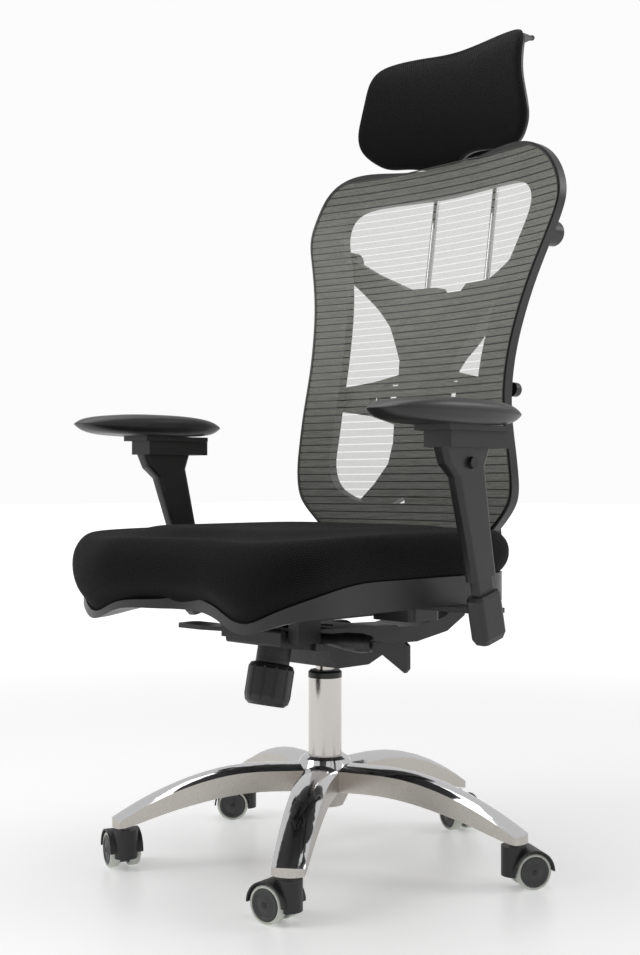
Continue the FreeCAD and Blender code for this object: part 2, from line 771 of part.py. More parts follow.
def cushion_crown():
    """Plump upper body of the cushion from side to side, bulging over the pan's front."""
    half = float(D.seat_width) / 2
    wires = []
    for part in (-1.0, -0.93, -0.8, -0.5, 0.0, 0.5, 0.8, 0.93, 1.0):
        fade = (1 - abs(part) ** 3.2) ** 0.5 if abs(part) < 1 else 0.0
        top = 452 + (float(D.seat_top) - 452) * (0.45 + 0.55 * fade)
        front = -float(D.seat_front) - 22 + 46 * (1 - fade)
        rear = float(D.seat_rear) + 16 - 40 * (1 - fade)
        x = half * part
        ring = [(x, front, 448), (x, front + 18, 486 - 12 * (1 - fade)), (x, front + 80, top),
                (x, -60, top - 8), (x, rear - 90, top - 3), (x, rear - 38, 487 - 8 * (1 - fade)),
                (x, rear - 2, 460), (x, rear - 14, 425), (x, 0, 420), (x, front + 40, 380),
                (x, front + 6, 408)]
        wires.append(closed_spline(ring))
    return Part.makeLoft(wires, True, False)


def build_seat():
    wall = float(D.pan_wall)
    gap = float(D.slide_gap)
    floor_block = below(floor_height, 0.0)
    pan = seat_plan(0).common(below(rim_height, 0.0)).cut(floor_block)
    well = seat_plan(wall + 3).common(below(rim_height, 60.0)).cut(below(floor_height, wall))
    node(shaped("seat_pan", pan.cut(well)), "seat_pan")
    crown = cushion_crown().cut(below(rim_height, gap))
    plug = seat_plan(wall + 3 + gap).common(below(rim_height, 10.0)).cut(below(floor_height, wall + gap))
    node(shaped("seat_cushion", crown.fuse(plug)), "seat_cushion")


# ---------------------------------------------------------------- arms
ARM_SPREAD = D.seat_width / 2 + D.arm_clearance
ARM_BLOCK_X = ARM_SPREAD + D.arm_block_offset


def arm_rotation():
    splay = Rotation(Vector(0, 1, 0), float(D.arm_splay))
    return splay.multiply(Rotation(Vector(1, 0, 0), float(D.arm_lean)))


def rounded_loop(width, depth, z, corner, shift=0.0):
    """A rectangle with rounded corners at a height, moved back by shift."""
    half_w = width / 2
    half_d = depth / 2
    edges = []
    for quarter, (sx, sy) in enumerate(((1, 1), (-1, 1), (-1, -1), (1, -1))):
        centre = Vector(sx * (half_w - corner), sy * (half_d - corner) + shift, z)
        angles = [math.radians(90 * quarter + step) for step in (0, 45, 90)]
        spots = [centre + Vector(corner * math.cos(a), corner * math.sin(a), 0) for a in angles]
        edges.append(Part.Arc(*spots).toShape())
    joined = []
    for i, edge in enumerate(edges):
        following = edges[(i + 1) % 4]
        joined += [edge, Part.makeLine(edge.Vertexes[-1].Point, following.Vertexes[0].Point)]
    return Part.Wire(joined)


PAD_POINTS = 20


def superellipse(wide, long, angle):
    """A point of a full, round-cornered oval."""
    c, q = math.cos(math.radians(angle)), math.sin(math.radians(angle))
    return wide * math.copysign(abs(c) ** 0.66, c), long * math.copysign(abs(q) ** 0.66, q)


def arm_loft(loops):
    return Part.makeLoft([rounded_loop(*values) for values in loops], True, True)


def build_arm():
    """The right arm: bracket, socket, inner post, sleeve, trigger, block, slide plate and pad."""
    foot = Placement(Vector(float(ARM_SPREAD), float(D.socket_y), float(D.socket_bottom)), arm_rotation())
    gap = float(D.slide_gap)
    width, depth = float(D.post_width), float(D.post_depth)
    socket_width, socket_depth = float(D.socket_width), float(D.socket_depth)
    socket_length = float(D.socket_length)
    rise = float(D.arm_block_bottom - D.socket_bottom) / math.cos(math.radians(float(D.arm_lean)))

    tongue_top = float(D.pan_bottom) - gap
    tongue = Part.makeBox(float(ARM_SPREAD) - 100, 46, 7, Vector(105, -8, tongue_top - 7))
    pad_block = Part.makeBox(80, 62, 26, Vector(110, -16, tongue_top - 26))
    pad_block = pad_block.makeFillet(9, [e for e in pad_block.Edges if along(Vector(0, 0, 1))(e)])
    socket = arm_loft([(socket_width - 6, socket_depth - 8, 0, 7), (socket_width, socket_depth, 8, 8),
                       (socket_width, socket_depth, socket_length - 5, 8),
                       (socket_width - 4, socket_depth - 4, socket_length, 7)])
    socket.Placement = foot
    hollow = arm_loft([(width, depth, 14, 4), (width, depth, socket_length + 5, 4)])
    hollow.Placement = foot
    bracket = tongue.fuse([pad_block, socket]).cut(hollow)
    bracket = bracket.cut(Part.makeBox(200, 400, 60, Vector(60, -200, tongue_top)))
    node(shaped("arm_bracket_right", bracket), "arm_bracket_right")

    post_top = rise - 44
    post = arm_loft([(width, depth, 14, 4), (width, depth, post_top, 4)])
    node(shaped("arm_post_right", post, foot), "arm_post_right")

    sleeve_width, sleeve_depth = float(D.sleeve_width), float(D.sleeve_depth)
    start = float(D.sleeve_start)
    sleeve = arm_loft([(sleeve_width, sleeve_depth, start, 7),
                       (sleeve_width, sleeve_depth + 4, start + 60, 7),
                       (sleeve_width + 1, sleeve_depth + 15, rise - 32, 8),
                       (sleeve_width + 3, 92, rise - 10, 8),
                       (sleeve_width + 5, 104, rise + 30, 8)])
    bore = arm_loft([(width + gap * 2, depth + gap * 2, start - 5, 4),
                     (width + gap * 2, depth + gap * 2, rise - 30, 4)])
    sleeve = sleeve.cut(bore)
    sleeve.Placement = foot
    block_low = float(D.arm_block_bottom)
    sleeve = sleeve.cut(Part.makeBox(300, 400, 200, Vector(200, -250, block_low)))
    centre = foot.multVec(Vector(float(D.sleeve_width) / 2 + 1.5, 0, rise - 20))
    seat = Part.makeCylinder(8.3, 14, centre - Vector(5, 0, 0), Vector(1, 0, 0))
    node(shaped("arm_sleeve_right", sleeve.cut(seat)), "arm_sleeve_right")
    trigger = Part.makeCylinder(8, 7, centre - Vector(1.5, 0, 0), Vector(1, 0, 0))
    node(shaped("arm_trigger_right", trigger), "arm_trigger_right")

    block = box("arm_block_blank", D.arm_block_width, D.arm_block_length, D.arm_block_height,
                ARM_BLOCK_X - D.arm_block_width / 2, D.arm_block_y - D.arm_block_length / 2,
                D.arm_block_bottom)
    node(block, "arm_block_right")
    plate_low = D.arm_block_bottom + D.arm_block_height
    plate_width = D.arm_block_width + 14
    plate_length = D.arm_block_length + 6
    plate_middle = D.arm_block_y - 8
    node(box("arm_slide_plate", plate_width, plate_length, D.arm_slide_height,
             ARM_BLOCK_X - plate_width / 2, plate_middle - plate_length / 2, plate_low),
         "arm_slide_plate_right")
    pad_low = float(plate_low + D.arm_slide_height)
    half_length = float(D.arm_pad_length) / 2
    half_width = float(D.arm_pad_width) / 2
    thick = float(D.arm_pad_thickness)
    loops = []
    for level, inset in ((0.0, 6.0), (0.22, 1.0), (0.5, 0.0), (0.8, 3.0), (0.95, 10.0), (1.0, 18.0)):
        wide, long = half_width - inset, half_length - inset
        z = pad_low + thick * level
        ring = [superellipse(wide, long, 360.0 * i / PAD_POINTS) for i in range(PAD_POINTS)]
        loops.append(closed_spline([(x, y, z) for x, y in ring]))
    pad = Part.makeLoft(loops, True, False)
    node(shaped("arm_pad_right", pad, Placement(Vector(float(ARM_BLOCK_X), float(D.arm_pad_y), 0),
                                                Rotation())),
         "arm_pad_right")


def build_left_arm():
    for source in [n for n in NODES if n.Label.startswith("arm_") and n.Label.endswith("_right")]:
        mirrored(source, source.Label.replace("_right", "_left"))


# ---------------------------------------------------------------- back
BACK_DEPTH = ((0.0, 194.5), (0.12, 194.0), (0.25, 188.5), (0.35, 190.5), (0.45, 201.5), (0.56, 219.5),
              (0.67, 240.0), (0.78, 261.0), (0.87, 274.5), (0.93, 277.0), (1.0, 268.0))
BACK_WIDTH = ((0.0, 0.55), (0.02, 0.66), (0.06, 0.77), (0.1, 0.84), (0.16, 0.86), (0.27, 0.83), (0.45, 0.8),
              (0.56, 0.825), (0.66, 0.875), (0.78, 0.965), (0.85, 1.0), (0.91, 0.965), (0.965, 0.88),
              (0.99, 0.78))


def back_part(z):
    return (z - float(D.back_bottom)) / float(D.back_top - D.back_bottom)


def back_height(part):
    return float(D.back_bottom) + part * float(D.back_top - D.back_bottom)


def back_front(x, z):
    """Front of the back frame: lumbar bulge, upper lean, sides wrapping forward."""
    return interpolate(BACK_DEPTH, back_part(z)) - float(D.plan_curve) * x * x


def back_outline(inset):
    """The back's outer line, or the same line drawn in by inset at sides and bottom."""
    half = float(D.back_half_width)
    low = back_height(0) + inset * 0.85
    high = back_height(1) - inset * 0.8
    right = []
    for part, wide in BACK_WIDTH[1:-1]:
        z = low + part * (high - low)
        right.append((half * wide - inset, 0.0, z))
    right = [(half * BACK_WIDTH[0][1] - inset, 0.0, low + 4)] + right
    right += [(half * BACK_WIDTH[-1][1] - inset, 0.0, high - 4), (0.34 * half, 0.0, high)]
    left = [(-x, y, z) for x, y, z in reversed(right)]
    return closed_spline([(0.0, 0.0, low)] + right + [(0.0, 0.0, high - 6)] + left)


BACK_OPENING = ((0.098, 0.56), (0.115, 0.69), (0.135, 0.77), (0.165, 0.81), (0.21, 0.815), (0.26, 0.785),
                (0.35, 0.75), (0.45, 0.745), (0.56, 0.775), (0.656, 0.83), (0.724, 0.89), (0.775, 0.945),
                (0.82, 0.99), (0.86, 1.0), (0.89, 0.96), (0.908, 0.87), (0.916, 0.7))


def back_opening():
    """The inner line of the frame: narrow-waisted, with full upper corners."""
    half = float(D.back_half_width) - float(D.frame_band)
    right = [(half * wide, 0.0, back_height(part)) for part, wide in BACK_OPENING]
    left = [(-x, y, z) for x, y, z in reversed(right)]
    middle = (BACK_OPENING[0][0] - 0.006, BACK_OPENING[-1][0] - 0.004)
    low, high = (0.0, 0.0, back_height(middle[0])), (0.0, 0.0, back_height(middle[1]))
    return closed_spline([low] + right + [high] + left)


def back_sheet(front_shift, rear_shift):
    half = float(D.back_half_width) + 30
    levels = spread(back_height(-0.03), back_height(1.03), 15)
    return slab(levels, spread(-half, half, 9), lambda x, z: back_front(x, z) + front_shift,
                lambda x, z: back_front(x, z) + rear_shift)


def build_back_frame():
    """The moulded frame, and the mesh stretched over its front."""
    gap = float(D.slide_gap)
    full = back_sheet(0, float(D.frame_depth))
    opening = prism_y(back_opening(), 50, 450)
    node(shaped("back_frame", full.common(prism_y(back_outline(0), 50, 450)).cut(opening)), "back_frame")
    mesh = back_sheet(-gap - float(D.mesh_thickness), -gap)
    node(shaped("back_mesh", mesh.common(prism_y(back_outline(float(D.mesh_margin)), 50, 450))),
         "back_mesh")


# ---------------------------------------------------------------- spine behind the mesh
SPINE_FRONT = ((484, 214), (540, 214), (620, 213), (700, 218), (740, 225), (790, 246), (850, 274),
               (905, 299), (990, 326))
SPINE_THICKNESS = ((484, 19), (620, 20), (740, 24), (800, 40), (850, 43), (905, 27), (990, 15))
SPINE_HALF = ((484, 176), (516, 172), (540, 128), (572, 92), (606, 62), (640, 52), (740, 50), (785, 62),
              (850, 84), (905, 98))


def spine_front(x, z):
    """Front of the spine: clear of the mesh in the middle, meeting the frame's rear at its ends."""
    reach = 0.78 * float(D.back_half_width)
    middle = interpolate(SPINE_FRONT, z)
    frame_rear = back_front(reach, z) + float(D.frame_depth) + float(D.spine_gap)
    return middle + (frame_rear - middle) * min(1.0, abs(x) / reach) ** 2


def spine_rear(x, z):
    thin = float(D.spine_arm_thickness)
    fade = max(0.0, 1 - (abs(x) / 125.0) ** 4)
    return spine_front(x, z) + thin + (interpolate(SPINE_THICKNESS, z) - thin) * fade


def flat_prism(points):
    """A straight-sided outline given as (x, z), carried through the whole depth."""
    return prism_y(Part.makePolygon([Vector(x, 0, z) for x, z in points + points[:1]]), 100, 450)


def spine_outline():
    """The column with its feet, two wings at mid height and two arms up to the frame."""
    half_back = float(D.back_half_width)
    column = [(half, z) for z, half in SPINE_HALF]
    column += [(34, 905), (26, 893)]
    foot_inner = [(112, 484), (88, 520), (40, 548), (0, 556)]
    ring = column + [(-x, z) for x, z in reversed(column)]
    ring += [(-x, z) for x, z in foot_inner] + foot_inner[-2::-1]
    body = flat_prism(ring)
    for side in (-1, 1):
        boss_x = side * 0.8 * half_back
        wing_x = side * 0.745 * half_back
        arm = flat_prism([(side * x, z) for x, z in (
            (40, 770), (60, 778), (78, 806), (100, 840), (132, 874), (172, 912), (abs(boss_x), 947),
            (abs(boss_x), 979), (150, 938), (88, 905), (40, 900))])
        wing = flat_prism([(side * 30, 664), (side * 100, 686), (wing_x, 701), (wing_x, 731),
                           (side * 100, 744), (side * 30, 759)])
        slots = [(50, 79, 707, 718), (90, 106, 706, 717), (50, 80, 735, 739)]
        for a, b, low, high in slots:
            wing = wing.cut(flat_prism([(side * a, low), (side * b, low), (side * b, high), (side * a, high)]))
        body = body.fuse([arm, wing])
    return body


def rod_axis(z):
    """Depth of the headrest rods at a height."""
    lean = math.tan(math.radians(float(D.rod_lean)))
    return float(D.rod_y) + (z - float(D.rod_entry)) * lean


def build_spine():
    half = float(D.back_half_width) + 10
    stations = [half * part for part in (-1, -0.75, -0.45, -0.3, -0.15, 0, 0.15, 0.3, 0.45, 0.75, 1)]
    sheet_solid = slab(spread(470, 1000, 14), stations, spine_front, spine_rear)
    spine = sheet_solid.common(spine_outline())
    start = float(D.rod_bottom) - 2
    top = 1000.0
    lean = math.radians(float(D.rod_lean))
    along_rod = Vector(0, math.sin(lean), math.cos(lean))
    bores = []
    for side in (-1, 1):
        foot = Vector(side * float(D.rod_spread), rod_axis(start), start)
        bores.append(Part.makeCylinder(float(D.rod_radius + D.running_gap), top - start, foot, along_rod))
        bezel = Part.makeCylinder(float(D.rod_radius) + 6.5, 55, foot + along_rod * 2, along_rod)
        spine = spine.fuse(bezel)
    node(shaped("back_spine", spine.cut(Part.makeCompound(bores))), "back_spine")

    caps = []
    for part_x, z, radius, length in ((0.8, 963, float(D.boss_radius), 24.0), (0.745, 716, 11.0, 11.0)):
        for side in (-1, 1):
            x = side * part_x * float(D.back_half_width)
            rear = spine_rear(x, z)
            disc = Part.makeCylinder(radius, length + 5, Vector(x, rear - 5, z), Vector(0, 1, 0))
            dome = disc.makeFillet(2.5, [e for e in disc.Edges
                                         if e.Curve.TypeId == "Part::GeomCircle"
                                         and e.Curve.Center.y > rear])
            pieces = dome.cut(sheet_solid).Solids
            caps.append(max(pieces, key=lambda solid: solid.CenterOfMass.y))
    node(shaped("spine_caps", Part.makeCompound(caps)), "spine_caps")


BRACKET_BITE = 6  # how far the bar reaches into the spine's place before it is trimmed to its face


def build_back_bracket():
    """J-shaped bar from the recline pivot, under the seat, up the back of the spine."""
    pivot_y, pivot_z = D.recline_y, D.recline_z
    spine_face = size(SPINE_FRONT[1][1] + SPINE_THICKNESS[1][1] - BRACKET_BITE)
    body = padded("bracket_bar", "YZ_Plane", [
        (pivot_y - 12, pivot_z - 8), (pivot_y - 4, pivot_z - 13), (pivot_y + 76, pivot_z - 15),
        (pivot_y + 150, pivot_z - 4), (pivot_y + 194, pivot_z + 18), (pivot_y + 212, pivot_z + 50),
        (pivot_y + 206, pivot_z + 120), (pivot_y + 172, pivot_z + 216), (pivot_y + 162, pivot_z + 296),
        (spine_face, pivot_z + 296), (spine_face, pivot_z + 250), (spine_face, pivot_z + 192),
        (pivot_y + 182, pivot_z + 108), (pivot_y + 186, pivot_z + 58), (pivot_y + 174, pivot_z + 36),
        (pivot_y + 142, pivot_z + 19), (pivot_y + 76, pivot_z + 10), (pivot_y - 2, pivot_z + 13),
        (pivot_y - 12, pivot_z + 8)], D.bracket_width, midplane=True)
    bore = cylinder("bracket_bore", D.pivot_radius + D.running_gap, D.bracket_width + 10,
                    -D.bracket_width / 2 - 5, pivot_y, pivot_z, ALONG_X)
    trim = shaped("bracket_trim", slab(spread(470, 1000, 14), spread(-150, 150, 9),
                                       lambda x, z: 100.0, lambda x, z: spine_rear(x, z) + 0.3))
    node(cut("back_bracket", body, bore, trim), "back_bracket")


# ---------------------------------------------------------------- headrest
HEAD_FRONT = ((0.0, 315), (0.1, 303), (0.2, 295), (0.34, 288), (0.5, 286), (0.68, 289), (0.86, 299),
              (1.0, 316))
HEAD_WIDTH = ((0.0, 0.6), (0.04, 0.8), (0.1, 0.9), (0.2, 0.985), (0.28, 1.0), (0.5, 0.96), (0.7, 0.925),
              (0.86, 0.9), (0.95, 0.85), (1.0, 0.7))


def head_front(x, z):
    part = (z - float(D.head_bottom)) / float(D.head_top - D.head_bottom)
    return interpolate(HEAD_FRONT, part) - float(D.head_curve) * x * x


def head_outline(inset):
    low, high = float(D.head_bottom) + inset, float(D.head_top) - inset
    half = float(D.head_half_width)
    right = [(half * wide - inset, 0.0, low + part * (high - low) + (3 if part == 0 else 0))
             for part, wide in HEAD_WIDTH]
    left = [(-x, y, z) for x, y, z in reversed(right)]
    return closed_spline([(0.0, 0.0, low)] + right + [(0.0, 0.0, high - 5)] + left)


def head_sheet(front_shift, rear_shift):
    half = float(D.head_half_width) + 20
    low, high = float(D.head_bottom) - 10, float(D.head_top) + 10
    return slab(spread(low, high, 10), spread(-half, half, 9), lambda x, z: head_front(x, z) + front_shift,
                lambda x, z: head_front(x, z) + rear_shift)


def build_headrest():
    gap = float(D.slide_gap)
    lean = Rotation(Vector(1, 0, 0), -float(D.rod_lean))
    rods = []
    rod_length = (D.bracket_z + 12 - D.rod_bottom) / math.cos(math.radians(float(D.rod_lean)))
    for side in (-1, 1):
        rods.append(cylinder("headrest_rod_%s" % ("left" if side > 0 else "right"), D.rod_radius,
                             rod_length, D.rod_spread * side, rod_axis(float(D.rod_bottom)), D.rod_bottom, lean))
    node(grouped("headrest_rods", *rods), "headrest_rods")

    pivot_y, pivot_z = D.head_pivot_y, D.head_pivot_z
    rod_y = rod_axis(float(D.bracket_z))
    bar_half = D.rod_spread + 12
    bar = box("headrest_bar", bar_half * 2, 24, 24, -bar_half, rod_y - 12, D.bracket_z - 12)
    ears = [box("headrest_ear_%d" % (i + 1), 8, 22, pivot_z - D.bracket_z + 8, x, pivot_y - 9, D.bracket_z)
            for i, x in enumerate((22.5, -30.5))]
    bores = [cylinder("headrest_bore_%s" % rod.Name, D.rod_radius + D.running_gap, 400,
                      rod.Placement.Base.x,
                      rod_axis(900.0), 900, lean) for rod in rods]
    pin_bore = cylinder("headrest_pin_bore", D.head_pin_radius + D.running_gap, 80, -40, pivot_y, pivot_z,
                        ALONG_X)
    node(cut("headrest_bracket", fused("headrest_bracket_blank", bar, *ears), pin_bore, *bores),
         "headrest_bracket")
    node(cylinder("headrest_pin", D.head_pin_radius, 61, -30.5, pivot_y, pivot_z, ALONG_X), "headrest_pin")

    pad_thick = float(D.head_pad_thickness)
    shell_thick = float(D.head_shell_thickness)
    pad = head_sheet(0, pad_thick).common(prism_y(head_outline(0), 100, 450))
    node(shaped("headrest_pad", pad), "headrest_pad")
    shell = head_sheet(pad_thick + gap, pad_thick + gap + shell_thick).common(prism_y(head_outline(3), 100,
                                                                                      450))
    lip_low = float(D.head_top - D.head_lip_height)
    lip = head_sheet(pad_thick + gap, float(D.head_lip_reach)).common(prism_y(head_outline(3), 100, 450))
    shell = shell.fuse(lip.cut(Part.makeBox(600, 600, 600, Vector(-300, 0, lip_low - 600))))
    y, z = float(pivot_y), float(pivot_z)
    root = head_front(0, z) + pad_thick + gap + 3
    lug = Part.makeBox(44, y - root, 18, Vector(-22, root, z - 9))
    lug = lug.fuse(Part.makeCylinder(9, 44, Vector(-22, y, z), Vector(1, 0, 0)))
    lug = lug.cut(Part.makeCylinder(float(D.head_pin_radius + D.running_gap), 60, Vector(-30, y, z),
                                    Vector(1, 0, 0)))
    node(shaped("headrest_shell", shell.fuse(lug)), "headrest_shell")


# ---------------------------------------------------------------- the whole chair
build_base()
build_gas_lift()
build_casters()
build_mechanism()
build_knob()
build_levers()
build_seat_plate()
build_seat()
build_arm()
build_left_arm()
build_back_frame()
build_spine()
build_back_bracket()
build_headrest()
doc.recompute()

for obj in doc.Objects:
    for state in ("Invalid", "Error"):
        if state in obj.State:
            raise RuntimeError("%s is %s: %s" % (obj.Label, state, obj.getStatusString()))
for obj in NODES:
    if obj.Shape.isNull() or not obj.Shape.isValid():
        raise RuntimeError("%s has no valid shape" % obj.Label)

os.makedirs("parts", exist_ok=True)
for obj in NODES:
    obj.Shape.exportStep("parts/%s.step" % obj.Label)
print("%d nodes" % len(NODES))
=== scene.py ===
import json
import math

import bmesh
import bpy
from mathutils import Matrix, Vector
from mathutils.bvhtree import BVHTree


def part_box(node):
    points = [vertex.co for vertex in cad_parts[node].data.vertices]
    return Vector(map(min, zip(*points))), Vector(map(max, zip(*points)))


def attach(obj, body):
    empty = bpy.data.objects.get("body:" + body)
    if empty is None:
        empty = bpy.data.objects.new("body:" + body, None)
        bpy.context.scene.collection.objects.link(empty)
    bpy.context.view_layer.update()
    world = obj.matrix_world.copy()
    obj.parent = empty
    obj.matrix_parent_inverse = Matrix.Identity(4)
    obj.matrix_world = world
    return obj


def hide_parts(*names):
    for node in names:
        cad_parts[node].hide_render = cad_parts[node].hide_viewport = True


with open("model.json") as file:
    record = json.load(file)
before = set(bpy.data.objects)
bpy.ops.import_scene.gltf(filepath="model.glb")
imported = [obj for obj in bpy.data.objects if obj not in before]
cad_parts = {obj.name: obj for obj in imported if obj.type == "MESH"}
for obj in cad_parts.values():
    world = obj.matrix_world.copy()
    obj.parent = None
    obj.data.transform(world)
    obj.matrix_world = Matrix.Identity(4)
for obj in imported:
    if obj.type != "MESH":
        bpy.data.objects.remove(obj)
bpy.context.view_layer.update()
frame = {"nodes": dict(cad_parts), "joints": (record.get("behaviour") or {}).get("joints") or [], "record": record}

# Swivel office chair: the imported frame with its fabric, padding, plastics and metals.
# Metres, +Z up, the sitter faces -Y.

nodes = frame["nodes"]


# shader maths: a socket that can be added, multiplied and so on
class Sock:
    def __init__(self, mat, socket):
        self.mat = mat
        self.socket = socket

    def math(self, operation, *others):
        return self.mat.node("ShaderNodeMath", {"operation": operation}, {
            i: value for i, value in enumerate((self,) + others)})

    def __add__(self, other):
        return self.math("ADD", other)

    __radd__ = __add__

    def __mul__(self, other):
        return self.math("MULTIPLY", other)

    __rmul__ = __mul__

    def __sub__(self, other):
        return self.math("SUBTRACT", other)

    def __rsub__(self, other):
        return self * -1 + other

    def __truediv__(self, other):
        return self.math("DIVIDE", other)

    def above(self, limit, soft):
        return self.mat.node("ShaderNodeMapRange", {"interpolation_type": "SMOOTHSTEP"}, {
            "Value": self, "From Min": limit - soft, "From Max": limit + soft})

    def cos(self):
        return self.math("COSINE")

    def wrap(self):
        return self.math("FRACT")


class Finish:
    # one material and its shader, filled in by name
    def __init__(self, name, color, roughness, metallic=0.0, **constants):
        self.material = bpy.data.materials.new(name)
        self.material.use_nodes = True
        self.tree = self.material.node_tree
        self.shader = self.tree.nodes["Principled BSDF"]
        self.put("Base Color", color)
        self.put("Roughness", roughness)
        self.put("Metallic", metallic)
        for key, value in constants.items():
            self.put(key.replace("_", " "), value)

    def put(self, key, value, target=None):
        socket = (target or self.shader).inputs[key]
        if isinstance(value, Sock):
            self.tree.links.new(value.socket, socket)
        elif isinstance(value, (tuple, list)) and socket.type == "RGBA":
            socket.default_value = tuple(value[:3]) + (1.0,)
        else:
            socket.default_value = value

    def node(self, kind, settings=None, inputs=None, output=0):
        made = self.tree.nodes.new(kind)
        for key, value in (settings or {}).items():
            setattr(made, key, value)
        for key, value in (inputs or {}).items():
            self.put(key, value, made)
        return Sock(self, made.outputs[output])

    def mix(self, factor, a, b):
        made = self.tree.nodes.new("ShaderNodeMix")
        made.data_type = "RGBA"
        for key, value in ((0, factor), (6, a), (7, b)):
            self.put(key, value, made)
        return Sock(self, made.outputs[2])

    def coords(self, kind="Object"):
        return self.node("ShaderNodeTexCoord", output=kind)

    def split(self, vector):
        made = self.tree.nodes.new("ShaderNodeSeparateXYZ")
        self.tree.links.new(vector.socket, made.inputs[0])
        return [Sock(self, made.outputs[i]) for i in range(3)]

    def noise(self, scale, detail=3.0, stretch=(1, 1, 1), where=None):
        spot = self.node("ShaderNodeMapping", inputs={"Vector": where or self.coords(), "Scale": stretch})
        return self.node("ShaderNodeTexNoise", inputs={"Vector": spot, "Scale": scale, "Detail": detail})

    def bump(self, height, distance, strength=1.0):
        self.put("Normal", self.node("ShaderNodeBump", inputs={
            "Height": height, "Distance": distance, "Strength": strength}))


# finishes
def shade(value, tint=0.0):
    return (value, value, value + tint)


def mouldedPlastic(name, base, roughness, grain, depth, patches=0.12):
    made = Finish(name, shade(base, base * 0.03), roughness)
    cloud = made.noise(14.0)
    fine = made.noise(grain, 2.0)
    dark, light = shade(base * (1 - patches)), shade(base * (1 + patches), base * 0.04)
    made.put("Base Color", made.mix(cloud, dark, light))
    made.put("Roughness", cloud * 0.14 + (roughness - 0.07))
    made.bump(fine, depth)
    return made.material


def brushedMetal(name, base, roughness, stretch, streak=0.1):
    made = Finish(name, base, roughness, 1.0)
    streaks = made.noise(60.0, 4.0, stretch)
    made.put("Roughness", streaks * streak * 2 + (roughness - streak))
    made.put("Base Color", made.mix(streaks, tuple(c * 0.86 for c in base), base))
    made.bump(streaks, 0.00004)
    return made.material


def polishedBase():
    # mirror-bright on the upper faces, speckled and warmer on the upright sides
    polish = {"top": (0.8, 0.8, 0.81), "sideDark": (0.34, 0.31, 0.28), "sideLight": (0.7, 0.67, 0.63),
              "topRoughness": 0.07, "sideRoughness": 0.22, "tilt": 0.3, "turn": 0.16, "dents": 0.00012}
    made = Finish("polishedBase", (0.8, 0.8, 0.8), 0.1, 1.0)
    up = made.split(made.node("ShaderNodeNewGeometry", output="Normal"))[2]
    top = up.above(polish["tilt"], polish["turn"])
    grain = made.noise(90.0, 4.0, (1, 1, 6))
    speck = made.noise(900.0, 2.0)
    side = made.mix(speck, polish["sideDark"], polish["sideLight"])
    made.put("Base Color", made.mix(top, side, polish["top"]))
    made.put("Roughness", (1 - top) * (grain * 0.2 + polish["sideRoughness"]) + top * polish["topRoughness"])
    made.bump((1 - top) * (grain * 0.6 + speck * 0.4), polish["dents"])
    return made.material


def spacerFabric():
    # black knitted face with small staggered oval openings, the openings painted darker than the threads: the
    # black layer below plus painted shade inside the knit; UVs are in metres along the cloth
    knit = {"across": 250.0, "along": 150.0, "thread": 0.0065, "hole": 0.0006}
    made = Finish("spacerFabric", shade(knit["thread"]), 0.85, Sheen_Weight=0.02, Sheen_Roughness=0.5,
                  Specular_IOR_Level=0.12)
    u, v, _ = made.split(made.coords("UV"))
    weave = (u * (2 * math.pi * knit["across"])).cos() * (v * (2 * math.pi * knit["along"])).cos()
    hole = weave.above(0.25, 0.3)
    fuzz = made.noise(700.0, 2.0)
    cloth = made.mix(fuzz, shade(knit["thread"] * 0.7), shade(knit["thread"] * 1.5, 0.0006))
    # painted shade: the openings get a near-black colour, darker than the black threads, for the shade inside them
    made.put("Base Color", made.mix(hole, cloth, shade(knit["hole"])))
    made.put("Roughness", hole * 0.1 + 0.78)
    made.bump((1 - hole) * 0.8 + fuzz * 0.2, 0.0009, 0.9)
    return made.material


def backNet():
    # olive-grey net: fine cross threads, with an open dark line every dozen millimetres
    weave = {"pitch": 0.0125, "line": 0.13, "thread": 0.0021, "cross": 0.0011, "cover": 0.44, "open": 0.04,
             "dark": (0.3, 0.3, 0.262), "light": (0.52, 0.52, 0.46), "lineColor": (0.03, 0.03, 0.028)}
    made = Finish("backNet", (0.13, 0.13, 0.112), 0.75, Sheen_Weight=0.15)
    u, v, _ = made.split(made.coords("UV"))
    slow = made.noise(2.0, 1.0, where=made.coords("UV"))
    band = (v / weave["pitch"] + slow * 0.15).wrap()
    gap = (band - 0.5).math("ABSOLUTE").above(0.5 - weave["line"] / 2, 0.03)
    threads = (v * (2 * math.pi / weave["thread"])).cos() * 0.5 + 0.5
    cross = (u * (2 * math.pi / weave["cross"])).cos() * 0.5 + 0.5
    streak = made.noise(120.0, 3.0, (0.15, 2.2, 1), made.coords("UV"))
    yarn = made.mix(streak, weave["dark"], weave["light"])
    made.put("Base Color", made.mix(gap, yarn, weave["lineColor"]))
    made.put("Alpha", (1 - gap) * (weave["cover"] + threads * 0.06 - cross * 0.05) + gap * weave["open"])
    made.put("Roughness", streak * 0.2 + 0.6)
    made.bump(threads * (1 - gap), 0.0004)
    return made.material


def softPad():
    made = Finish("softPad", shade(0.022, 0.001), 0.42, Coat_Weight=0.08)
    cells = made.node("ShaderNodeTexVoronoi", inputs={"Vector": made.coords(), "Scale": 900.0})
    cloud = made.noise(10.0)
    made.put("Roughness", cloud * 0.12 + 0.34)
    made.put("Base Color", made.mix(cloud, shade(0.011), shade(0.018, 0.001)))
    made.bump(cells, 0.00012)
    return made.material


def castBlack():
    made = Finish("castBlack", shade(0.018), 0.5, 0.2)
    speck = made.noise(420.0, 3.0)
    cloud = made.noise(22.0)
    made.put("Base Color", made.mix(cloud, shade(0.012), shade(0.03)))
    made.put("Roughness", speck * 0.3 + 0.33)
    made.bump(speck, 0.0005)
    return made.material


